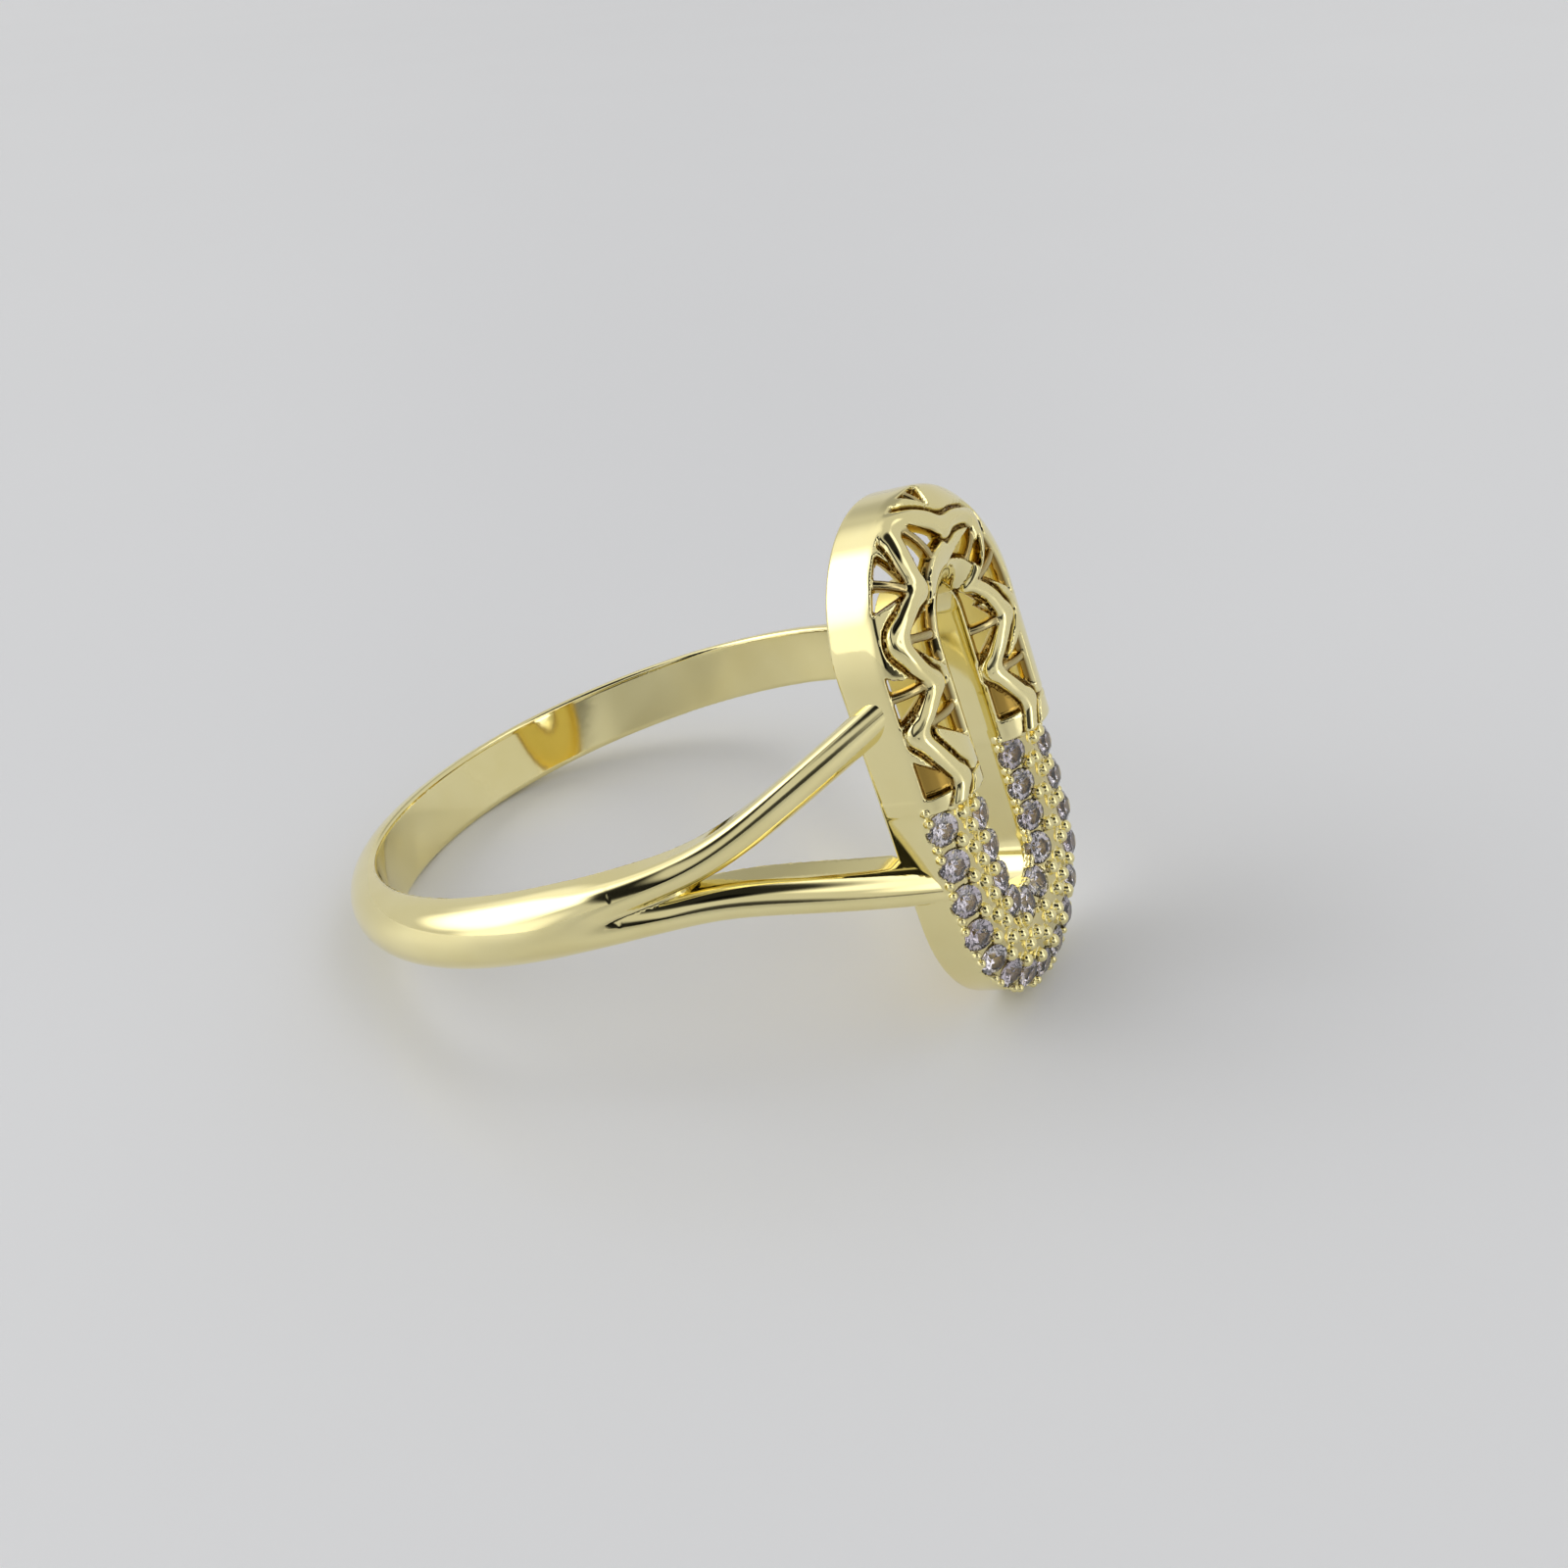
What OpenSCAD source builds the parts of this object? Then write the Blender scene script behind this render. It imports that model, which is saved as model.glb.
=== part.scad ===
// Finger ring of polished yellow gold. A half-round band splits into two
// prongs on each side, and the prongs carry an elongated loop-shaped head.
// The upper half of the head is pierced, the lower half is set with two
// rows of round stones. The ring lies on its side, as it rests by itself.

/* [Finger hole and band] */
// Diameter of the finger hole
hole_d = 17.3; // [16.6:0.1:17.6]
// Width of the band
band_w = 2; // [1.9:0.05:2.2]
// Thickness of the band
band_t = 1.13; // [1:0.01:1.2]

/* [Prongs] */
// Height of each prong
prong_h = 0.92; // [0.8:0.02:1]
// Tilt of each prong away from the plane of the band
prong_tilt = 25; // [23:0.5:27]
// Distance of the fork's pivot line from the hole's centre
prong_x = 5.75; // [5.6:0.05:5.9]
// Radius of the prong's own sweep
prong_r = 30; // [28:1:32]
// Direction where the prongs leave the round of the band
prong_a = 62; // [60:1:64]
// Height of the fork above the middle of the band
fork_z = 0.15; // [0:0.05:0.2]

/* [Head] */
// Half length of the loop, measured on its centre line
loop_l = 5.76; // [5.6:0.02:5.9]
// Half width of the loop, and radius of its round ends, on its centre line
loop_w = 2.37; // [2.3:0.01:2.44]
// Width of the loop's arm
arm_w = 2.73; // [2.68:0.01:2.8]
// Distance of the head's open back from the hole's centre
back_x = 9.84; // [9.7:0.02:10]
// Distance of the pierced half's shoulder line from the hole's centre
rim_x = 11.18; // [11.14:0.01:11.24]
// Distance of the pierced half's crest from the hole's centre
crest_x = 12; // [11.96:0.01:12.06]
// Distance of the stone half's shoulder line from the hole's centre
pave_rim_x = 10.98; // [10.94:0.01:11.02]
// Distance of the stone half's crest from the hole's centre
pave_x = 11.42; // [11.4:0.01:11.46]
// Wall thickness of the hollow head
wall_t = 0.42; // [0.38:0.01:0.46]
// Height of the step between the two halves on the near arm
step_near = -0.2; // [-0.3:0.05:-0.1]
// Height of the step between the two halves on the far arm
step_far = -0.55; // [-0.65:0.05:-0.45]

/* [Pierced half] */
// Depth of the ground beside the ribbon
ground_d = 0.16; // [0.1:0.02:0.2]
// Width of the rib inside each fan
rib_w = 0.28; // [0.22:0.02:0.34]
// Width of the ledge around each opening
ledge_w = 0.1; // [0.06:0.02:0.14]

/* [Stones] */
// Diameter of a stone
stone_d = 0.9; // [0.84:0.01:0.92]
// Free gap between a stone and its seat
seat_gap = 0.02; // [0.015:0.005:0.03]
// Distance of each row from the arm's centre line
row_u = 0.97; // [0.94:0.01:0.98]
// Tilt of the outer row away from the crest
out_a = 20; // [16:1:22]
// Tilt of the inner row away from the crest
in_a = 14; // [12:1:16]
// Turn of all stones toward the near side
turn_a = 16; // [12:1:16]
// Depth of a stone's girdle below the metal
seat_d = 0.06; // [0.04:0.01:0.1]
// Lift of the row that stands upright on each arm
seat_up = 0.1; // [0:0.02:0.12]
// Start of the outer row below the middle of the near arm
out_near = 0.8; // [0.76:0.02:0.84]
// Start of the outer row below the middle of the far arm
out_far = 1.64; // [1.6:0.02:1.68]
// Start of the inner row below the middle of the near arm
in_near = 1.38; // [1.34:0.02:1.42]
// Start of the inner row below the middle of the far arm
in_far = 1.06; // [1.02:0.02:1.1]
// Diameter of a bead between the two rows
bead_d = 0.42; // [0.38:0.01:0.44]
// Diameter of a bead at the edge
bead_s = 0.24; // [0.2:0.01:0.28]

/* [Hidden] */
$fn = 96;
bore_r = hole_d / 2;
arm_h = arm_w / 2;

// The loop is drawn with its width along x, its length along y and its
// outward direction along z. Two straight arms join two half rings.
side_len = loop_l - loop_w;
end_len = loop_w * PI;
half_len = 2 * side_len + end_len;

// Domes of the two halves, each an arc over the arm's width
crest_h = crest_x - rim_x;
crest_r = (arm_h * arm_h + crest_h * crest_h) / (2 * crest_h);
pave_h = pave_x - pave_rim_x;
pave_r = (arm_h * arm_h + pave_h * pave_h) / (2 * pave_h);

// Half-round band section: an arc through the crown and the edges
band_r = (band_w * band_w / 4 + band_t * band_t) / (2 * band_t);
band_c = bore_r + band_t - band_r;

// Resting tilt: the back of the band and the lower end of the head touch
low_y = loop_l + arm_h;
rest_tilt = acos(band_r / norm([low_y, back_x + band_c])) - atan2(back_x + band_c, low_y);

// Point on the loop: s runs from the near arm's middle over the upper end
// to the far arm's middle, u is the distance outward from the centre line
function turned(s) = min(max((s - side_len) / loop_w * 180 / PI, 0), 180);
function upper(s, u) =
    s < side_len ? [-loop_w - u, s] :
    s > side_len + end_len ? [loop_w + u, half_len - s] :
    [-(loop_w + u) * cos(turned(s)), side_len + (loop_w + u) * sin(turned(s))];
// The same for the lower half, from the near arm's middle downward
function lower(s, u) = let (p = upper(s, u)) [p.x, -p.y];
// Direction of the outward side at s
function outward(s, up) = up ? 180 - turned(s) : 180 + turned(s);

module on_head() rotate([90, 0, 90]) children();
module at_rest() rotate([0, -rest_tilt, 0]) children();

// Sweeps a section around the loop; the section's x is the distance outward
module around() {
    for (m = [0, 1]) {
        mirror([0, m, 0]) translate([0, side_len, 0]) rotate_extrude(angle = 180)
            translate([loop_w, 0]) children();
        mirror([m, 0, 0]) translate([loop_w, side_len, 0]) rotate([90, 0, 0])
            linear_extrude(2 * side_len) children();
    }
}

// Section of the arm between two heights, closed by a dome arc above
module arm_section(half, base, shoulder, radius, crest) {
    translate([-half, base]) square([2 * half, shoulder - base]);
    intersection() {
        translate([0, crest - radius]) circle(radius);
        translate([-half, shoulder - 0.2]) square([2 * half, 2]);
    }
}

// Half space that holds the stone half below the two steps
module stone_half(grow) {
    translate([-8, -12, 0]) cube([8, 12 + step_near + grow, 20]);
    translate([0, -12, 0]) cube([8, 12 + step_far + grow, 20]);
}

// Fans along the loop: run from the near arm's middle over the upper end,
// directions of the apex and of the open side from the crest toward the
// outside, width at the open side
FANS = [
    [0.35, 24, 55, 1.7], [2, 34, -14, 1.35], [2.98, 21, 55, 1.4], [4.04, 34, -14, 1.5],
    [5.03, 24, 55, 1.4], [6.2, 48, 2, 1.5], [7.3, 38, 55, 0.8], [8.7, 10, -26, 1.5],
    [9.9, -26, 8, 1.4], [11.5, -22, -55, 1.6], [12.8, -34, -3, 1.3], [13.95, -26, -55, 1.6]];
// Direction of a fan's middle and half its length across the arm
function fan_mid(i) = (FANS[i][1] + FANS[i][2]) / 2;
function fan_l(i) = crest_r * sin(abs(FANS[i][2] - FANS[i][1]) / 2);

// Sets a piece square to the dome over the point s, leaning outward by a
module on_round(s, up, a, centre) {
    p = up ? upper(s, 0) : lower(s, 0);
    translate([p.x, p.y, centre]) rotate(outward(s, up)) rotate([0, a, 0]) children();
}
// Triangle from the open side at +x to the apex at -x
module fan_2d(l, w, grow) {
    polygon([
        [l + grow, -w / 2 - grow], [l + grow, w / 2 + grow],
        [-l - grow, grow], [-l - grow, -grow]]);
}
module fan(i) {
    on_round(FANS[i][0], true, fan_mid(i), crest_x - crest_r)
        mirror([FANS[i][2] > FANS[i][1] ? 0 : 1, 0, 0]) children();
}
// Zone of the fans: everything above the two steps
module fan_zone() {
    translate([-8, step_near + 0.34, 9]) cube([8, 12, 6]);
    translate([0, step_far + 0.34, 9]) cube([8, 12, 6]);
}

// Hollow head with its piercing, before the stones are let in
module head_shell() {
    difference() {
        union() {
            around() arm_section(arm_h, back_x, pave_rim_x, pave_r, pave_x);
            difference() {
                around() arm_section(arm_h, back_x, rim_x, crest_r, crest_x);
                stone_half(0);
            }
        }
        // Hollow below the stones, open at the back
        around() translate([wall_t - arm_h, back_x - 1])
            square([2 * (arm_h - wall_t), pave_rim_x - 0.45 - back_x + 1]);
        // Hollow below the pierced dome
        difference() {
            around() arm_section(arm_h - wall_t, back_x - 0.5, rim_x - 0.35,
                                 crest_r - wall_t, crest_x - wall_t);
            stone_half(wall_t);
        }
        // Ground of each fan, let into the dome
        difference() {
            intersection() {
                for (i = [0 : len(FANS) - 1]) fan(i) translate([0, 0, crest_r * 0.6])
                    linear_extrude(1.2) fan_2d(fan_l(i), FANS[i][3], ledge_w);
                fan_zone();
            }
            around() arm_section(arm_h + 0.3, back_x, rim_x - 0.5,
                                 crest_r - ground_d, crest_x - ground_d);
        }
        // Two openings in each fan, on both sides of its rib
        intersection() {
            for (i = [0 : len(FANS) - 1]) fan(i) translate([0, 0, 0.5]) linear_extrude(1.6)
                difference() {
                    fan_2d(fan_l(i), FANS[i][3], 0);
                    translate([-2, -rib_w / 2]) square([4, rib_w]);
                }
            fan_zone();
        }
    }
}

// Rows of stones: each row keeps an even pitch on its own curve
function row_end(u) = (loop_w + u) * PI;
function row_s(l, u) =
    l < side_len ? l :
    l < side_len + row_end(u) ? side_len + (l - side_len) * loop_w / (loop_w + u) :
    l + end_len - row_end(u);
function row_len(u) = 2 * side_len + row_end(u);
out_n = 15;
in_n = 10;
function out_l(k) = out_near + k * (row_len(row_u) - out_near - out_far) / (out_n - 1);
function in_l(k) = in_near + k * (row_len(-row_u) - in_near - in_far) / (in_n - 1);

// Height of the stone half's dome at a distance from the centre line
function dome_x(u) = pave_x - pave_r + sqrt(pave_r * pave_r - u * u);

// Places a piece on the dome at s, u, leaning outward by a
module on_dome(s, u, up, a) {
    p = lower(s, u);
    translate([p.x, p.y, dome_x(u)]) rotate(outward(s, false))
        rotate([0, a, 0]) translate([0, 0, up]) children();
}
module at_stone(i) {
    u = i < out_n ? row_u : -row_u;
    s = i < out_n ? row_s(out_l(i), u) : row_s(in_l(i - out_n), u);
    side = sign(u) * cos(outward(s, false));
    on_dome(s, u, max(side, 0) * seat_up - seat_d,
            (u > 0 ? out_a : -in_a) - turn_a * cos(outward(s, false))) children();
}

// Seat of a stone, with its hole through to the hollow
crown_h = 0.13;
pav_h = 0.39;
girdle_h = 0.03;
module seat() {
    r = stone_d / 2 + seat_gap;
    rotate_extrude($fn = 48) polygon([
        [0, -1.2], [0.2, -1.2], [0.2, -pav_h * 0.62 - seat_gap],
        [r, -girdle_h / 2 - seat_gap], [r, girdle_h / 2 + seat_gap],
        [r * 0.62, crown_h + 2 * seat_gap], [0, crown_h + 2 * seat_gap]]);
}

// Beads that hold the stones, between neighbours on both sides of a row
module row_beads(u, n, first, last) {
    inside = u > 0 ? -1 : 1;
    for (k = [0 : n]) {
        l = first + (k - 0.5) * (last - first) / (n - 1);
        on_dome(row_s(l, u), u + inside * 0.4, 0.03, 0) sphere(d = bead_d, $fn = 32);
        for (m = [-1, 1])
            on_dome(row_s(l + m * 0.13, u), u - inside * 0.37, 0.02, 0)
                sphere(d = bead_s, $fn = 24);
    }
}

module band() {
    difference() {
        rotate_extrude($fn = 180) intersection() {
            translate([band_c, 0]) circle(band_r);
            translate([bore_r - 0.3, -2]) square([3, 4]);
        }
        // Front of the band, where only the prongs go on
        translate([7, -12, -3]) cube([6, 24, 6]);
        // Groove that opens toward the fork
        for (m = [0, 1]) mirror([0, m, 0]) translate([4.3, -8.78, fork_z])
            rotate(45.5) rotate([90, 0, 90]) translate([0, 0, -0.4]) linear_extrude(6)
                polygon([[0, 0], [-0.8, 0.5], [-0.8, -0.5]]);
    }
}

module prongs() {
    c = prong_r - bore_r;
    for (m = [0, 1], n = [-1, 1]) mirror([0, m, 0]) intersection() {
        translate([prong_x, 0, fork_z]) rotate([0, -n * prong_tilt, 0])
            translate([-prong_x, 0, 0])
            translate([-c * cos(prong_a), c * sin(prong_a), 0])
            rotate(-58.5) rotate_extrude(angle = 20, $fn = 360) union() {
                translate([prong_r, -prong_h / 2]) square([band_t - prong_h / 2, prong_h]);
                translate([prong_r + band_t - prong_h / 2, 0]) circle(prong_h / 2, $fn = 48);
            }
        translate([4, -9, -4]) cube([9, 5.5, 8]);
    }
}

module metal() color([0.93, 0.85, 0.52]) at_rest() difference() {
    union() {
        band();
        prongs();
        on_head() head_shell();
        on_head() row_beads(row_u, out_n, out_l(0), out_l(out_n - 1));
        on_head() row_beads(-row_u, in_n, in_l(0), in_l(in_n - 1));
    }
    cylinder(r = bore_r, h = 8, center = true, $fn = 180);
    on_head() for (i = [0 : out_n + in_n - 1]) at_stone(i) seat();
}

// Round brilliant: table, stars, kites, upper and lower halves, pavilion mains
function ring(n, r, z, turn) = [for (k = [0 : n - 1])
    [r * cos(360 * (k + turn) / n), r * sin(360 * (k + turn) / n), z]];
module brilliant() {
    r = stone_d / 2;
    g = girdle_h / 2;
    pts = concat(
        ring(8, r * 0.56, crown_h, 0.5),
        ring(8, r * 0.77, crown_h * 0.55, 0),
        ring(16, r, g, 0), ring(16, r, -g, 0),
        ring(8, r * 0.32, -pav_h * 0.7, 0.5),
        [[0, 0, -pav_h - g]]);
    a = 0; b = 8; c = 16; d = 32; e = 48; z = 56;
    polyhedron(pts, concat(
        [[7, 6, 5, 4, 3, 2, 1, 0]],
        [for (k = [0 : 7]) [a + (k + 7) % 8, a + k, b + k]],
        [for (k = [0 : 7]) [a + k, c + 2 * k + 1, b + k]],
        [for (k = [0 : 7]) [a + k, b + (k + 1) % 8, c + 2 * k + 1]],
        [for (k = [0 : 7]) [b + k, c + 2 * k + 1, c + 2 * k]],
        [for (k = [0 : 7]) [b + (k + 1) % 8, c + (2 * k + 2) % 16, c + 2 * k + 1]],
        [for (k = [0 : 15]) [c + k, c + (k + 1) % 16, d + (k + 1) % 16, d + k]],
        [for (k = [0 : 7]) [d + 2 * k, d + 2 * k + 1, e + k]],
        [for (k = [0 : 7]) [d + 2 * k + 1, d + (2 * k + 2) % 16, e + k]],
        [for (k = [0 : 7]) [d + (2 * k + 2) % 16, e + (k + 1) % 8, e + k]],
        [for (k = [0 : 7]) [e + k, e + (k + 1) % 8, z]]));
}
module stone(i) color([0.86, 0.82, 0.88, 0.7]) at_rest() on_head() at_stone(i) brilliant();

metal();
stone(0);  // stone_outer_01
stone(1);  // stone_outer_02
stone(2);  // stone_outer_03
stone(3);  // stone_outer_04
stone(4);  // stone_outer_05
stone(5);  // stone_outer_06
stone(6);  // stone_outer_07
stone(7);  // stone_outer_08
stone(8);  // stone_outer_09
stone(9);  // stone_outer_10
stone(10);  // stone_outer_11
stone(11);  // stone_outer_12
stone(12);  // stone_outer_13
stone(13);  // stone_outer_14
stone(14);  // stone_outer_15
stone(15);  // stone_inner_01
stone(16);  // stone_inner_02
stone(17);  // stone_inner_03
stone(18);  // stone_inner_04
stone(19);  // stone_inner_05
stone(20);  // stone_inner_06
stone(21);  // stone_inner_07
stone(22);  // stone_inner_08
stone(23);  // stone_inner_09
stone(24);  // stone_inner_10
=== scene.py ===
"""Finger ring of polished yellow gold, lying on its side on a pale floor.

The metal is worked out as signed distances on a grid and turned into smooth
meshes. The stones are the frame's own. Lengths in the shape functions are
millimetres in the ring's own frame: first towards the head, then across, then
along the finger hole. The ring then leans back until it rests on the floor.
"""
from math import acos, atan2, cos, hypot, pi, radians, sin, sqrt

import bpy
import numpy as np
from mathutils import Matrix, Vector


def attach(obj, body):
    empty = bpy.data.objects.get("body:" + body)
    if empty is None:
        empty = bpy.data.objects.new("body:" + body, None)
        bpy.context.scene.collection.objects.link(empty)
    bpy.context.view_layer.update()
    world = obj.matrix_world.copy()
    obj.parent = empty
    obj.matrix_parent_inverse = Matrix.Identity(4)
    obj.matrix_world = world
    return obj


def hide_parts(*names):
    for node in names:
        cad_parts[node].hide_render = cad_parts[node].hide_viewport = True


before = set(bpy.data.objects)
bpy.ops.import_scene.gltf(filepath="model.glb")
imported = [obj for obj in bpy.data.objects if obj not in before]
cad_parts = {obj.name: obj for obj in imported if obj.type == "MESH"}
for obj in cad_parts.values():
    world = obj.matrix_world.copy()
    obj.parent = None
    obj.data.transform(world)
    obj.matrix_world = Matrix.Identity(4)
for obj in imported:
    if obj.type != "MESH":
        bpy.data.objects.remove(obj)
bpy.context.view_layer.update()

# Driving sizes in millimetres and degrees, the same as the solids'
HOLE_R = 8.65
BAND_W, BAND_T = 2.0, 1.13
PRONG_A, PRONG_R = 62, 30
PRONG_TILT, PRONG_X, FORK_Z = 25, 5.75, 0.15
LOOP_L, LOOP_W, ARM_W = 5.76, 2.37, 2.73
BACK_X, RIM_X, CREST_X = 9.84, 11.18, 12.0
PAVE_RIM_X, PAVE_X = 10.98, 11.42
WALL_T = 0.42
STEP_NEAR, STEP_FAR = -0.2, -0.55
STONE_R, SEAT_GAP, SEAT_D, SEAT_UP = 0.45, 0.02, 0.06, 0.1
OUT_A, IN_A, TURN_A = 20, 14, 16
# Rows of stones: distance from the loop's middle line, how many, first and last run
ROWS = ((0.97, 15, 0.8, 1.64), (-0.97, 10, 1.38, 1.06))

# Derived sizes: the loop's half arm, straight side, bend and half length, then
# the radii of the pierced dome, the stone half's dome and the band's outside
ARM_H = ARM_W / 2
SIDE = LOOP_L - LOOP_W
END = LOOP_W * pi
HALF = 2 * SIDE + END
CREST_H = CREST_X - RIM_X
CREST_R = (ARM_H ** 2 + CREST_H ** 2) / (2 * CREST_H)
PAVE_H = PAVE_X - PAVE_RIM_X
PAVE_R = (ARM_H ** 2 + PAVE_H ** 2) / (2 * PAVE_H)
BAND_R = (BAND_W ** 2 / 4 + BAND_T ** 2) / (2 * BAND_T)
BAND_C = HOLE_R + BAND_T - BAND_R
# The lean at which the head's end and the band both touch the floor
REACH = BACK_X + BAND_C
TILT = acos(BAND_R / hypot(LOOP_L + ARM_H, REACH)) - atan2(REACH, LOOP_L + ARM_H)
FLOOR_Z = -(BAND_C * sin(TILT) + BAND_R)

# A millimetre in metres, and a distance larger than any that matters
MM = 0.001
FAR = 9.0


# Distance helpers


def smax(a, b, k):
    """Larger of a and b, rounded over the width k."""
    h = np.maximum(k - np.abs(a - b), 0) / k
    return np.maximum(a, b) + h * h * k / 4


def smin(a, b, k):
    """Smaller of a and b, rounded over the width k."""
    return -smax(-a, -b, k)


def ramp(x, a, b):
    """0 at a, 1 at b, smooth between."""
    t = np.clip((x - a) / (b - a), 0, 1)
    return t * t * (3 - 2 * t)


def round_top(x):
    """1 at the middle, falling like a half circle to 0 at 1."""
    return np.sqrt(np.maximum(1 - x * x, 0))


# The head's loop with its two rows of stones. In the loop's plane x runs across
# the ring and y along the finger hole.


def loop_us(x, y):
    """(u, s) in the loop's plane: u is the distance outward from the middle
    line, s the run along it from the near arm's middle over the top."""
    dy = np.maximum(np.abs(y) - SIDE, 0)
    u = np.hypot(x, dy) - LOOP_W
    s = np.where(np.abs(y) > SIDE, SIDE + LOOP_W * np.arctan2(dy, -x),
                 np.where(x < 0, np.abs(y), HALF - np.abs(y)))
    s = np.copysign(s, y)
    return u, np.where(s < -HALF / 2, s + 2 * HALF, s)


def low_place(s, u):
    """Point on the loop's lower half and the direction outward there."""
    turn = min(max((s - SIDE) / LOOP_W, 0), pi)
    out = (-cos(turn), -sin(turn))
    if s < SIDE:
        return (-LOOP_W - u, -s), out
    if s > SIDE + END:
        return (LOOP_W + u, s - HALF), out
    return ((LOOP_W + u) * out[0], (LOOP_W + u) * out[1] - SIDE), out


def row_run(u, n, first, last, k):
    """Run along the loop of place k in a row of n stones at the distance u."""
    bend = (LOOP_W + u) * pi
    run = first + k * (2 * SIDE + bend - first - last) / (n - 1)
    if run < SIDE:
        return run
    if run < SIDE + bend:
        return SIDE + (run - SIDE) * LOOP_W / (LOOP_W + u)
    return run + END - bend


def on_pave(s, u, lean, up):
    """Point at a height over the stone half's dome, and the axis at that lean."""
    (x, y), (ox, oy) = low_place(s, u)
    t = radians(lean)
    axis = np.array([cos(t), ox * sin(t), oy * sin(t)])
    return np.array([PAVE_X - PAVE_R + sqrt(PAVE_R ** 2 - u * u), x, y]) + up * axis, axis


def stone_places():
    """(middle, axis) of each stone, as in the solids."""
    places = []
    for u, n, first, last in ROWS:
        for k in range(n):
            s = row_run(u, n, first, last, k)
            toward = low_place(s, 0)[1][0]
            lean = (OUT_A if u > 0 else -IN_A) - TURN_A * toward
            places.append(on_pave(s, u, lean, max(np.sign(u) * toward, 0) * SEAT_UP - SEAT_D))
    return places


# Beads beside the rows, with their distance from the row's middle line, and the
# grains on its other side, with theirs, their share of a step and their height
BEAD_R, BEAD_SIDE = 0.2, 0.42
GRAIN_R, GRAIN_SIDE, GRAIN_STEP, GRAIN_UP = 0.12, 0.34, 0.14, 0.05
# Beads of the strip between the rows: first and last run, zigzag, depth
MIDDLE_BEADS, MIDDLE_FIRST, MIDDLE_LAST = 25, 0.75, 1.1
MIDDLE_ZIGZAG, MIDDLE_D = 0.12, 0.04


def bead_places():
    """(middle, radius) of all beads."""
    places = []
    for u, n, first, last in ROWS:
        inside = -np.sign(u)
        for k in range(n + 1):
            s = row_run(u, n, first, last, k - 0.5)
            places.append((on_pave(s, u + inside * BEAD_SIDE, 0, 0)[0], BEAD_R))
            for m in (-1, 1):
                near = row_run(u, n, first, last, k - 0.5 + m * GRAIN_STEP)
                places.append((on_pave(near, u - inside * GRAIN_SIDE, 0, GRAIN_UP)[0], GRAIN_R))
    for k in range(MIDDLE_BEADS):
        s = row_run(0, MIDDLE_BEADS, MIDDLE_FIRST, MIDDLE_LAST, k)
        places.append((on_pave(s, MIDDLE_ZIGZAG * (-1) ** k, 0, -MIDDLE_D)[0], BEAD_R))
    return places


STONES = stone_places()
BEADS = bead_places()

# Pierced half. The ribbon's turns, as run along the loop and degrees from the
# crest towards the outside. A fan opens at each turn: run at its rib, degrees
# at its apex and at its open side, half width there before and after the rib.
TURNS = ((-0.3, 30), (0.35, 13), (1.9, 49), (2.9, 8), (4.04, 41), (5.1, 9), (6.1, 60),
         (7.2, 8), (8.7, 20), (9.75, -45), (11.45, -10), (12.7, -50), (13.95, -14), (15.2, -30))
FANS = ((0.35, 19, 61, 0, 0.85), (2.05, 30, -12, 0.75, 0.6), (2.98, 17, 61, 0.66, 0.74),
        (4.04, 32, -12, 0.75, 0.8), (5.03, 20, 61, 0.72, 0.66), (6.2, 50, 2, 0.8, 0.8),
        (7.15, 40, 61, 0.4, 0.4), (8.75, 12, -24, 1.1, 0.6), (9.85, -26, 7, 0.5, 1.0),
        (11.5, -22, -57, 0.9, 0.75), (12.8, -34, -3, 0.5, 0.75), (14.0, -28, -55, 0.8, 0))
# Half widths of ribbon and rib, and rounding of the ribbon's turns
RIBBON_R, RIB_R, TURN_SOFT = 0.28, 0.12, 0.26
# Depths below the dome: the ground beside the ribbon and a rib's top, and the
# ribbon's height over the dome
GROUND_D, RIB_D, RIBBON_UP = 0.22, 0.09, 0.04
# Distances between which the low ground fades out: from the crest towards the
# shoulder, from the ribbon's edge and from a fan's edge
SHOULDER_FROM, SHOULDER_TO = 1.6, 1.7
GROOVE_FROM, GROOVE_TO = 0.01, 0.1
FAN_FROM, FAN_TO = 0.02, 0.12
# A rib's foot on both sides, and rounding of fans, openings, ribbon and ribs
RIB_FOOT = 0.03
FAN_SOFT, OPENING_SOFT, WIRE_SOFT, STRUT_SOFT = 0.08, 0.06, 0.05, 0.03


def fans(s, u, w):
    """Distance to the nearest opening, fan and rib, in the dome's chart."""
    stretch = np.where((s > SIDE) & (s < SIDE + END), (LOOP_W + u) / LOOP_W, 1)
    opening, whole, rib = (np.full(s.shape, FAR) for _ in range(3))
    for at, apex, top, low, high in FANS:
        side = 1 if top > apex else -1
        x = (s - at) * stretch
        apex, top, y = (side * radians(apex) * CREST_R, side * radians(top) * CREST_R, side * w)
        half = np.where(x < 0, low, high) * (y - apex) / (top - apex)
        steep = np.cos(np.arctan2(max(low, high), top - apex))
        fan = smax((np.abs(x) - half) * steep, y - top, FAN_SOFT)
        line = np.abs(x) if low and high else (x if low else -x)
        opening = np.minimum(opening, smax(fan, RIB_R - line, OPENING_SOFT))
        whole = np.minimum(whole, fan)
        if low and high:
            rib = np.minimum(rib, np.maximum(np.abs(x), apex - y))
    return opening, whole, rib


def ribbon(s, w):
    """Distance from the ribbon's middle line."""
    best = np.full(s.shape, FAR)
    for (s0, a0), (s1, a1) in zip(TURNS, TURNS[1:]):
        w0, w1 = radians(a0) * CREST_R, radians(a1) * CREST_R
        t = np.clip(((s - s0) * (s1 - s0) + (w - w0) * (w1 - w0))
                    / ((s1 - s0) ** 2 + (w1 - w0) ** 2), 0, 1)
        d = np.hypot(s - s0 - t * (s1 - s0), w - w0 - t * (w1 - w0))
        best = smin(best, d, TURN_SOFT)
    return best


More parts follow.
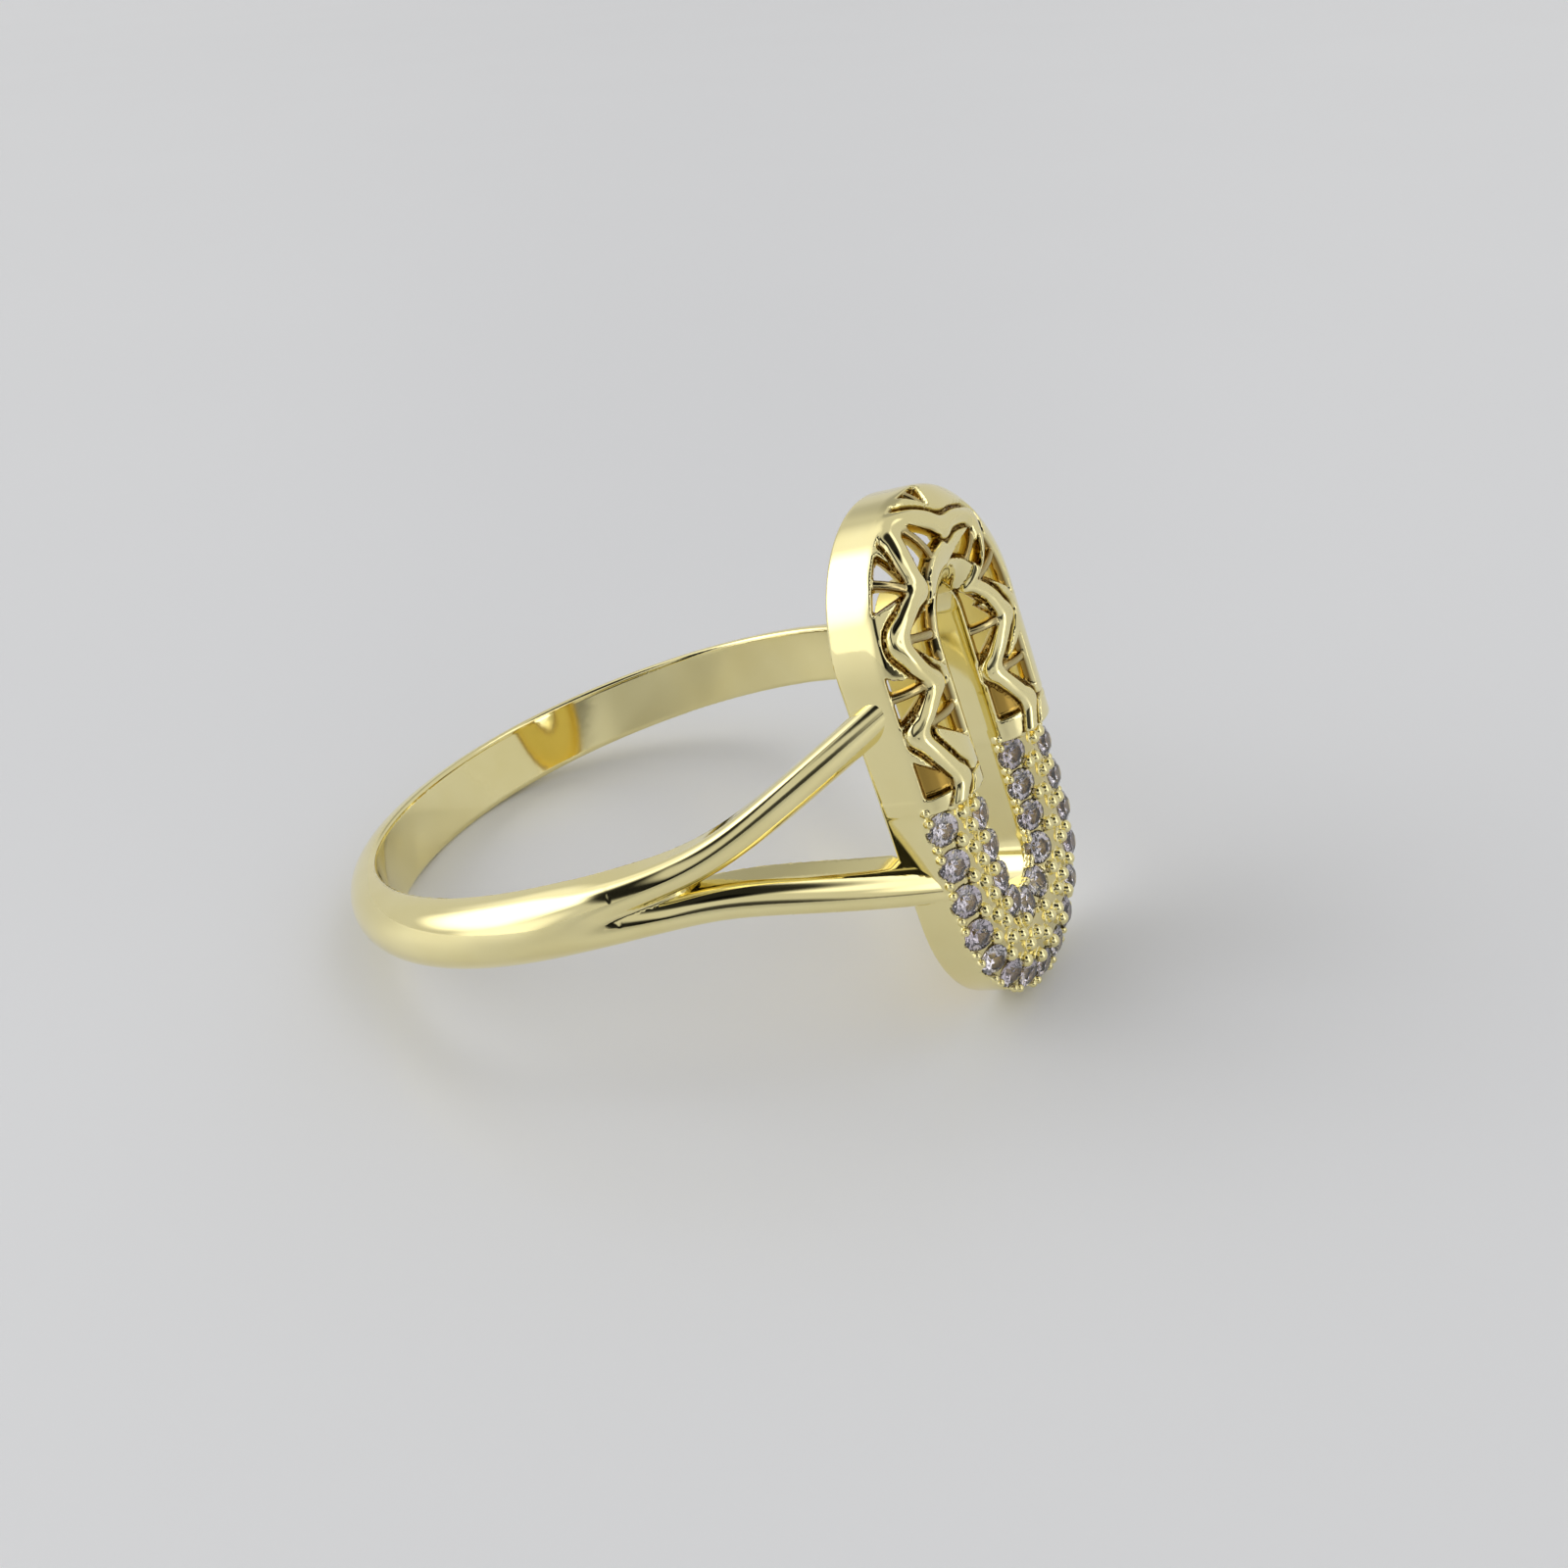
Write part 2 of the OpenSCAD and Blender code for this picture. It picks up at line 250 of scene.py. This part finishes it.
def relief(w, whole, rib, line):
    """Depth of the pierced half's relief below its dome."""
    open_side = 1 - ramp(np.abs(w), SHOULDER_FROM, SHOULDER_TO)
    groove = 1 - ramp(line, RIBBON_R + GROOVE_FROM, RIBBON_R + GROOVE_TO)
    ground = GROUND_D * open_side * np.maximum(1 - ramp(whole, FAN_FROM, FAN_TO), groove)
    wire = GROUND_D - (GROUND_D + RIBBON_UP) * round_top(line / RIBBON_R)
    strut = GROUND_D - (GROUND_D - RIB_D) * round_top(rib / (RIB_R + RIB_FOOT))
    return smin(smin(ground, wire, WIRE_SOFT), strut, STRUT_SOFT)


# Rounding of the pierced half's outer edge, inner edge, back rim, openings and step
OUTER_SOFT, INNER_SOFT, RIM_SOFT, PIERCE_SOFT, STEP_SOFT = 0.12, 0.1, 0.05, 0.04, 0.08
# How far below the dome's middle the openings still cut
PIERCE_D = 0.3


def pierced_half(h, u, s, y, step):
    """Signed distance of the loop's upper half, hollow from behind."""
    mid = CREST_X - CREST_R
    r = np.hypot(u, h - mid)
    w = np.arctan2(u, h - mid) * CREST_R
    opening, whole, rib = fans(s, u, w)
    depth = relief(w, whole, rib, ribbon(s, w))
    wall = np.abs(u) - ARM_H
    outer = smax(wall, r - CREST_R + depth, OUTER_SOFT)
    inner = smax(wall + WALL_T, r - CREST_R + WALL_T, INNER_SOFT)
    metal = smax(outer, -inner, RIM_SOFT)
    metal = np.where(h > mid - PIERCE_D, smax(metal, -opening, PIERCE_SOFT), metal)
    return smax(metal, step - y, STEP_SOFT)


# The stone half's ground is this much lower than its dome, and rises to it
# between these distances from the loop's middle line
GROUND_LOW, RISE_FROM, RISE_TO = 0.07, 1.16, 1.28
# How far below the rim the hollow ends
PAVE_T = 0.45
EDGE_SOFT, BEAD_SOFT, SEAT_SOFT = 0.1, 0.06, 0.03
# Seat: slope of its cone and the cosine that goes with it, slope of its lip
# above the girdle, and its depth under the girdle
SEAT_CONE, SEAT_COS, SEAT_LIP, SEAT_DEEP = 0.95, 0.72, 0.5, 0.62
# Reach around a bead and around a stone's middle within which the metal changes
BEAD_NEAR, SEAT_NEAR = 0.15, 0.9


def add_bead(metal, p, centre, radius):
    """Join a bead to the metal."""
    near = np.nonzero(np.abs(p - centre).max(axis=1) < radius + BEAD_NEAR)[0]
    d = np.linalg.norm(p[near] - centre, axis=1) - radius
    metal[near] = smin(metal[near], d, BEAD_SOFT)


def cut_seat(metal, p, centre, axis):
    """Cut a stone's seat out of the metal."""
    near = np.nonzero(np.abs(p - centre).max(axis=1) < SEAT_NEAR)[0]
    q = p[near] - centre
    up = q @ axis
    out = np.linalg.norm(q - up[:, None] * axis, axis=1) - STONE_R - SEAT_GAP
    cone = (out - np.minimum(up, 0) * SEAT_CONE) * SEAT_COS
    lip = out + np.maximum(up, 0) * SEAT_LIP
    seat = np.maximum(np.maximum(cone, lip), -SEAT_DEEP - up)
    metal[near] = smax(metal[near], -seat, SEAT_SOFT)


def stone_half(p, h, u, y, step):
    """Signed distance of the loop's lower half with its beads and seats."""
    wall = np.abs(u) - ARM_H
    lower = GROUND_LOW * (1 - ramp(np.abs(u), RISE_FROM, RISE_TO))
    solid = smax(wall, np.hypot(u, h - PAVE_X + PAVE_R) - PAVE_R + lower, EDGE_SOFT)
    hollow = np.maximum(wall + WALL_T, h - PAVE_RIM_X + PAVE_T)
    metal = np.maximum(np.maximum(solid, -hollow), y - step - WALL_T)
    for centre, radius in BEADS:
        add_bead(metal, p, centre, radius)
    for centre, axis in STONES:
        cut_seat(metal, p, centre, axis)
    return metal


# Rounding where the halves meet, and of the head's back rim
JOIN_SOFT, BACK_SOFT = 0.03, 0.1


def head(p):
    """Signed distance of the hollow head, negative inside the metal."""
    h, x, y = p[:, 0], p[:, 1], p[:, 2]
    u, s = loop_us(x, y)
    step = np.where(x < 0, STEP_NEAR, STEP_FAR)
    metal = smin(pierced_half(h, u, s, y, step), stone_half(p, h, u, y, step), JOIN_SOFT)
    return smax(metal, BACK_X - h, BACK_SOFT)


def head_depth(p):
    """How deep a point lies below the head's plain outer form."""
    h, x, y = p[:, 0], p[:, 1], p[:, 2]
    u, _ = loop_us(x, y)
    step = np.where(x < 0, STEP_NEAR, STEP_FAR)
    dome = np.hypot(u, h - CREST_X + CREST_R) - CREST_R
    pave = np.hypot(u, h - PAVE_X + PAVE_R) - PAVE_R
    return -np.maximum(np.abs(u) - ARM_H, np.where(y > step, dome, pave))


# Band and prongs. The path follows the hole's circle and leaves it on a wider
# arc; there the band opens into two prongs, which part from the fork.
# Stretch of the band's round section along the finger hole, how much less it is
# at the fork, and where the change starts and ends
BAND_FLAT, BAND_TAPER, TAPER_FROM, TAPER_TO = 1.05, 0.08, -9, 6
# Prongs: half width, distance from the middle line before the fork, how fast
# they part, where the parting starts and how softly
PRONG_B = 0.46
START, SPREAD, FORK_X, FORK_SOFT = 0.42, 0.5, 6.6, 0.6
# Where the band turns into two prongs, the rounding of the valley between them
# there, and by how much it gets less
SPLIT_FROM, SPLIT_TO = 2.2, 6.0
VALLEY_SOFT, VALLEY_LESS = 0.5, 0.45
# Ease of the bend to the tilted ends, distance from the ring's middle where the
# ends stop inside the head's wall, and rounding of the hole's edge and the ends
BEND_SOFT, PRONG_END, HOLE_SOFT, END_SOFT = 0.6, 3.5, 0.14, 0.1


def path_distance(x, y):
    """Distance of the band's path from the hole's middle, straightened out."""
    leave = radians(PRONG_A)
    c = PRONG_R - HOLE_R
    over = (x - PRONG_X + np.hypot(x - PRONG_X, BEND_SOFT)) / 2
    long_x = x + over * (1 / cos(radians(PRONG_TILT)) - 1)
    px, py = long_x + c * cos(leave), y - c * sin(leave)
    return np.where(np.arctan2(x, -y) > pi / 2 - leave, np.hypot(px, py) - c, np.hypot(x, y))


def two_prongs(x, z, rho, share):
    """Signed distance of the two prongs, each with a flat inside."""
    t = (x - FORK_X) / FORK_SOFT
    part = START + SPREAD * FORK_SOFT * np.logaddexp(0, t)
    slope = SPREAD / (1 + np.exp(-t))
    out = rho - HOLE_R - BAND_T + PRONG_B
    pair = []
    for sign in (1, -1):
        across = (z - sign * part) / np.sqrt(1 + slope ** 2)
        pair.append(np.where(out > 0, np.hypot(out, across), np.abs(across)) - PRONG_B)
    return smin(pair[0], pair[1], VALLEY_SOFT - VALLEY_LESS * share)


def band(p):
    """Signed distance of the band with its four prongs."""
    x, y, z = p[:, 0], -np.abs(p[:, 1]), p[:, 2]
    rho = path_distance(x, y)
    run = ramp(x, TAPER_FROM, TAPER_TO)
    share = ramp(x, SPLIT_FROM, SPLIT_TO)
    z = z - FORK_Z * run
    plain = np.hypot(rho - BAND_C, z / (BAND_FLAT - BAND_TAPER * run)) - BAND_R
    both = plain * (1 - share) + two_prongs(x, z, rho, share) * share
    both = smax(both, HOLE_R - rho, HOLE_SOFT)
    return np.where(x > 0, smax(both, PRONG_END + y, END_SOFT), both)


# Meshes from distances

CORNERS = [(a, b, c) for a in (0, 1) for b in (0, 1) for c in (0, 1)]


def slope_of(field, p, step):
    """The field's slope along the three axes."""
    g = np.empty_like(p)
    for a in range(3):
        d = np.zeros(3)
        d[a] = step
        g[:, a] = field(p + d) - field(p - d)
    return g / (2 * step)


def on_grid(field, axes):
    """The field at each grid point, worked out slice by slice."""
    value = np.empty([len(axis) for axis in axes])
    for i, at in enumerate(axes[0]):
        grid = np.stack(np.meshgrid([at], axes[1], axes[2], indexing="ij"), -1)
        value[i] = field(grid.reshape(-1, 3)).reshape(value.shape[1:])
    return value


def cell_points(value, low, cell):
    """One point in each cell that the surface crosses, and a grid of their numbers."""
    size = np.array(value.shape) - 1

    def corner(array, offset):
        return array[tuple(slice(o, o + n) for o, n in zip(offset, size))]

    count = sum((corner(value, o) < 0).astype(int) for o in CORNERS)
    crossed = (count > 0) & (count < 8)
    cells = np.argwhere(crossed)
    number = np.full(size, -1)
    number[crossed] = np.arange(len(cells))
    total = np.zeros((len(cells), 3))
    hits = np.zeros(len(cells))
    for start in CORNERS:
        for axis in range(3):
            if start[axis]:
                continue
            end = [o + (a == axis) for a, o in enumerate(start)]
            v0, v1 = corner(value, start)[crossed], corner(value, end)[crossed]
            cut = (v0 < 0) != (v1 < 0)
            t = np.where(cut, v0 / np.where(cut, v0 - v1, 1), 0)
            total += (np.array(start, float)[None] + t[:, None] * np.eye(3)[axis]) * cut[:, None]
            hits += cut
    return low + cell * (cells + total / hits[:, None]), number


def cell_quads(inside, number):
    """A quad around each grid edge that crosses the surface, facing outward."""
    size = number.shape
    faces = []
    for a in range(3):
        b, c = (a + 1) % 3, (a + 2) % 3
        first = [slice(0, None)] * 3
        first[a], first[b], first[c] = slice(0, size[a]), slice(1, size[b]), slice(1, size[c])
        second = list(first)
        second[a] = slice(1, size[a] + 1)
        i0, i1 = inside[tuple(first)], inside[tuple(second)]
        for flip, mask in ((False, i0 & ~i1), (True, ~i0 & i1)):
            at = np.argwhere(mask)
            quad = []
            for db, dc in ((1, 1), (0, 1), (0, 0), (1, 0)):
                q = at.copy()
                q[:, b] += db
                q[:, c] += dc
                quad.append(number[tuple(q.T)])
            faces.append(np.stack(quad[::-1] if flip else quad, 1))
    return np.concatenate(faces)


# Steps that pull the points onto the surface: how many, their longest length and
# the slope's measuring distance as shares of a cell, and the slope's least square
SETTLE_STEPS, SETTLE_LONG, SETTLE_NEAR, SLOPE_LEAST = 4, 0.4, 1 / 6, 0.2
# Measuring distance for the normals, as a share of a cell, and a length over 0
NORMAL_NEAR, TINY = 1 / 3, 1e-9


def settle(field, points, cell):
    """Pull the points onto the surface in a few short steps."""
    for _ in range(SETTLE_STEPS):
        g = slope_of(field, points, cell * SETTLE_NEAR)
        move = -field(points)[:, None] * g / np.maximum((g * g).sum(1), SLOPE_LEAST)[:, None]
        size = np.maximum(np.linalg.norm(move, axis=1), TINY)
        points += move * np.minimum(1, SETTLE_LONG * cell / size)[:, None]


def to_world(points):
    """From the ring's own frame in millimetres to the shared frame in metres."""
    c, s = cos(TILT), sin(TILT)
    turn = np.array([[c, 0, -s], [0, 1, 0], [s, 0, c]])
    return points @ turn.T * MM


def new_mesh(name, points, faces):
    """Smooth mesh of quads."""
    mesh = bpy.data.meshes.new(name)
    mesh.vertices.add(len(points))
    mesh.vertices.foreach_set("co", points.ravel())
    mesh.loops.add(faces.size)
    mesh.loops.foreach_set("vertex_index", faces.ravel())
    mesh.polygons.add(len(faces))
    mesh.polygons.foreach_set("loop_start", np.arange(len(faces)) * 4)
    mesh.update(calc_edges=True)
    mesh.validate()
    mesh.polygons.foreach_set("use_smooth", np.ones(len(mesh.polygons), bool))
    return mesh


def link(name, data):
    """New object in the scene."""
    piece = bpy.data.objects.new(name, data)
    bpy.context.scene.collection.objects.link(piece)
    return piece


def metal_piece(name, field, box, cell, depth_of=None):
    """Piece of the metal where the field is zero, one point in each crossed cell."""
    low, high = np.array(box, float)
    counts = np.ceil((high - low) / cell).astype(int) + 1
    value = on_grid(field, [low[a] + cell * np.arange(counts[a]) for a in range(3)])
    points, number = cell_points(value, low, cell)
    faces = cell_quads(value < 0, number)
    settle(field, points, cell)
    mesh = new_mesh(name, to_world(points), faces)
    g = slope_of(field, points, cell * NORMAL_NEAR)
    g /= np.maximum(np.linalg.norm(g, axis=1), TINY)[:, None]
    mesh.normals_split_custom_set_from_vertices(to_world(g / MM))
    if depth_of:
        depth = mesh.attributes.new("depth", "FLOAT", "POINT")
        depth.data.foreach_set("value", np.clip(depth_of(points), 0, 1))
    return link(name, mesh)


# Grids: lowest and highest corner in the ring's own frame, and the cells' size
HEAD_BOX, HEAD_CELL = ((9.7, -3.95, -7.4), (12.2, 3.95, 7.4)), 0.068
BAND_BOX, BAND_CELL = ((-10.1, -10.1, -2.6), (11.4, 10.1, 3.4)), 0.1

head_piece = metal_piece("head", head, HEAD_BOX, HEAD_CELL, head_depth)
band_piece = metal_piece("band_and_prongs", band, BAND_BOX, BAND_CELL)
for piece in (head_piece, band_piece):
    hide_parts("metal")
    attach(piece, "root")


# Node helpers


def feed(tree, socket, value):
    """Link a value that is a socket, or else set it."""
    if isinstance(value, bpy.types.NodeSocket):
        tree.links.new(value, socket)
    else:
        socket.default_value = value


def node(tree, kind, inputs=(), **settings):
    """New node with these settings, fed with values or sockets."""
    n = tree.nodes.new(kind)
    for name, value in settings.items():
        setattr(n, name, value)
    for name, value in dict(inputs).items():
        feed(tree, n.inputs[name], value)
    return n


def noise(tree, scale, detail=2):
    """Noise in the object's frame, with the scale in cells a metre."""
    place = node(tree, "ShaderNodeTexCoord").outputs["Object"]
    inputs = {"Vector": place, "Scale": scale, "Detail": detail}
    return node(tree, "ShaderNodeTexNoise", inputs).outputs["Fac"]


def colours(tree, value, stops):
    """Colour by value, through rows of value, red, green and blue."""
    n = node(tree, "ShaderNodeValToRGB", {"Fac": value})
    points = n.color_ramp.elements
    for k, (at, *colour) in enumerate(stops):
        point = points[k] if k < 2 else points.new(at)
        point.position, point.color = at, (*colour, 1)
    return n.outputs["Color"]


def stretched(tree, value, start, end, low, high, smooth=False):
    """The value's range from start to end, turned into the range from low to high."""
    inputs = {"Value": value, "From Min": start, "From Max": end, "To Min": low, "To Max": high}
    kind = "SMOOTHSTEP" if smooth else "LINEAR"
    return node(tree, "ShaderNodeMapRange", inputs, interpolation_type=kind).outputs["Result"]


def maths(tree, operation, a, b):
    """Result of one operation on two numbers."""
    n = node(tree, "ShaderNodeMath", operation=operation)
    feed(tree, n.inputs[0], a)
    feed(tree, n.inputs[1], b)
    return n.outputs[0]


def mixed(tree, kind, a, b, share):
    """Two colours, mixed by a share of the second."""
    n = node(tree, "ShaderNodeMix", {"Factor": share}, data_type="RGBA", blend_type=kind)
    inputs = {socket.identifier: socket for socket in n.inputs}
    feed(tree, inputs["A_Color"], a)
    feed(tree, inputs["B_Color"], b)
    return next(socket for socket in n.outputs if socket.identifier == "Result_Color")


def material(name):
    """New material with its node tree and shader."""
    mat = bpy.data.materials.new(name)
    mat.use_nodes = True
    return mat, mat.node_tree, mat.node_tree.nodes["Principled BSDF"]


# Materials. Tints are rows of a value, then red, green and blue.
GOLD_TINTS = ((0.3, 0.87, 0.77, 0.38), (0.7, 0.92, 0.83, 0.45))
# By millimetres below the head's outer form: painted shade on the low ground and in the grooves,
# painted amber reflection inside the hollow
SHADE_AND_REFLECTION_TINTS = ((0.05, 1, 1, 1), (0.13, 0.25, 0.17, 0.08), (0.22, 0.5, 0.36, 0.15),
               (0.4, 1, 0.93, 0.62))
STONE_TINTS = ((0.35, 0.52, 0.45, 0.52), (0.65, 0.90, 0.86, 0.90))
FLOOR_TINTS = ((0, 0.84, 0.845, 0.86), (1, 0.86, 0.865, 0.88))
# Noise: cloudiness and ripple of the polish, veils in the stones, floor
CLOUD_SCALE, CLOUD_DETAIL, RIPPLE_SCALE, VEIL_SCALE, FLOOR_SCALE = 420, 4, 1500, 900, 30
# Roughness of the polish, and of the satin inside with the depths where it starts
POLISH_LOW, POLISH_HIGH = 0.04, 0.1
SATIN_FROM, SATIN_TO, SATIN_ROUGH = 0.25, 0.4, 0.3
# The ripple's strength, and its height in metres
RIPPLE_STRENGTH, RIPPLE_HEIGHT = 0.04, 0.00002


def gold():
    """Polished yellow gold."""
    mat, tree, shader = material("polished_gold")
    shader.inputs["Metallic"].default_value = 1
    # faint cloudiness of the polish
    cloud = noise(tree, CLOUD_SCALE, CLOUD_DETAIL)
    tint = colours(tree, cloud, GOLD_TINTS)
    # painted shade on the ground beside the ribbon, painted amber reflection inside the hollow head,
    # and satin roughness there
    depth = node(tree, "ShaderNodeAttribute", attribute_name="depth").outputs["Fac"]
    painted_shade_and_reflection = mixed(tree, "MULTIPLY", tint, colours(tree, depth, SHADE_AND_REFLECTION_TINTS), 1)
    feed(tree, shader.inputs["Base Color"], painted_shade_and_reflection)
    polish = stretched(tree, cloud, 0, 1, POLISH_LOW, POLISH_HIGH)
    satin = stretched(tree, depth, SATIN_FROM, SATIN_TO, 0, SATIN_ROUGH)
    feed(tree, shader.inputs["Roughness"], maths(tree, "ADD", polish, satin))
    # fine ripple left by polishing
    height = noise(tree, RIPPLE_SCALE)
    ripple = {"Strength": RIPPLE_STRENGTH, "Distance": RIPPLE_HEIGHT, "Height": height}
    feed(tree, shader.inputs["Normal"], node(tree, "ShaderNodeBump", ripple).outputs["Normal"])
    return mat


def stone():
    """Clear, faintly mauve cut stone."""
    mat, tree, shader = material("cut_stone")
    shader.inputs["Transmission Weight"].default_value = 1
    shader.inputs["IOR"].default_value = 1.9
    shader.inputs["Roughness"].default_value = 0.02
    feed(tree, shader.inputs["Base Color"], colours(tree, noise(tree, VEIL_SCALE), STONE_TINTS))
    return mat


def floor_paint():
    """Pale, half glossy table top."""
    mat, tree, shader = material("floor")
    shader.inputs["Roughness"].default_value = 0.3
    feed(tree, shader.inputs["Base Color"], colours(tree, noise(tree, FLOOR_SCALE), FLOOR_TINTS))
    return mat


GOLD = gold()
STONE = stone()
for piece in (head_piece, band_piece):
    piece.data.materials.append(GOLD)
for name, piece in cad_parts.items():
    piece.data.materials.clear()
    piece.data.materials.append(GOLD if name == "metal" else STONE)
    piece.data.shade_flat()


# Floor, light and camera. The floor's half width is in metres.
FLOOR_SPAN, FLOOR_CELLS = 1.5, 24


def floor():
    n = FLOOR_CELLS + 1
    grid = np.linspace(-FLOOR_SPAN, FLOOR_SPAN, n)
    points = [(a, b, FLOOR_Z * MM) for b in grid for a in grid]
    faces = [(k, k + 1, k + n + 1, k + n)
             for k in range(n * FLOOR_CELLS) if k % n < FLOOR_CELLS]
    mesh = bpy.data.meshes.new("floor")
    mesh.from_pydata(points, [], faces)
    mesh.materials.append(floor_paint())
    piece = link("floor", mesh)


# Light tent around the ring. Soft patches: azimuth and height of the middle in
# degrees, radius of the full patch and of its soft edge, brightness
PLAIN = 0.66
LIGHTS = ((-152, 33, 12, 30, 2.4), (-122, 6, 6, 24, 1.3), (172, 44, 6, 24, 1.1), (26, 67, 8, 18, 1.5),
          (-14, 48, 6, 18, 1.4), (-14, 24, 6, 16, 1.7), (-13, 4, 4, 12, 2.2))
# Dark gaps: the same, with the share of light that they take away
GAPS = ((-62, 72, 19, 29, 0.97), (-58, 53, 5, 13, 0.9), (-55, 2, 12, 24, 0.93), (-30, -4, 4, 14, 0.7),
        (120, 30, 8, 20, 0.4))
# Dark seam along a circle: the circle's axis, place along the axis, half width
# and its full part, share of light taken, middle and ends of the stretch
SEAM_AXIS, SEAM_AT = (0.738, 0.155, 0.656), 0.127
SEAM_HALF, SEAM_FULL, SEAM_SHARE = 0.15, 0.35, 0.98
SEAM_MIDDLE, SEAM_FROM, SEAM_TO = (-90, 32), 0.55, 0.8
# What the camera itself sees behind the floor
BACKDROP = (0.62, 0.63, 0.645, 1)


def light_tent():
    world = bpy.data.worlds.new("light_tent")
    bpy.context.scene.world = world
    world.use_nodes = True
    tree = world.node_tree
    direction = node(tree, "ShaderNodeTexCoord").outputs["Generated"]

    def along(axis):
        dot = node(tree, "ShaderNodeVectorMath", {0: direction, 1: axis}, operation="DOT_PRODUCT")
        return dot.outputs["Value"]

    def toward(azimuth, height):
        a, e = radians(azimuth), radians(height)
        return along((cos(e) * cos(a), cos(e) * sin(a), sin(e)))

    def patch(azimuth, height, full, edge, low, high):
        start, end = cos(radians(edge)), cos(radians(full))
        return stretched(tree, toward(azimuth, height), start, end, low, high, True)

    total = PLAIN
    for *place, bright in LIGHTS:
        total = maths(tree, "ADD", total, patch(*place, 0, bright - PLAIN))
    for *place, share in GAPS:
        total = maths(tree, "MULTIPLY", total, patch(*place, 1, 1 - share))
    off = maths(tree, "ABSOLUTE", maths(tree, "SUBTRACT", along(SEAM_AXIS), SEAM_AT), 0)
    line = stretched(tree, off, SEAM_HALF, SEAM_HALF * SEAM_FULL, 0, SEAM_SHARE, True)
    stretch = stretched(tree, toward(*SEAM_MIDDLE), SEAM_FROM, SEAM_TO, 0, 1, True)
    dark = maths(tree, "MULTIPLY", line, stretch)
    total = maths(tree, "MULTIPLY", total, maths(tree, "SUBTRACT", 1, dark))
    seen = node(tree, "ShaderNodeLightPath").outputs["Is Camera Ray"]
    feed(tree, tree.nodes["Background"].inputs["Color"], mixed(tree, "MIX", total, BACKDROP, seen))


# Camera, fitted to the hoop and the head's outline: place in millimetres and
# directions in the ring's own frame, lens and sensor in millimetres
EYE = (29.853, -34.012, 15.206)
LOOK = (-0.55973, 0.75128, -0.34968)
RIGHT = (0.82455, 0.46290, -0.32533)
LENS, SENSOR = 35.617, 36


def camera():
    cam = bpy.data.cameras.new("camera")
    cam.sensor_width = SENSOR
    cam.lens = LENS
    cam.clip_start = 0.001
    look = Vector(to_world(np.array([LOOK]) / MM)[0]).normalized()
    right = Vector(to_world(np.array([RIGHT]) / MM)[0])
    right = (right - look * right.dot(look)).normalized()
    turn = Matrix((right, right.cross(look), -look)).transposed().to_4x4()
    piece = link("camera", cam)
    piece.matrix_world = Matrix.Translation(Vector(to_world(np.array([EYE]))[0])) @ turn
    bpy.context.scene.camera = piece


floor()
light_tent()
camera()
bpy.context.scene.view_settings.view_transform = "Standard"
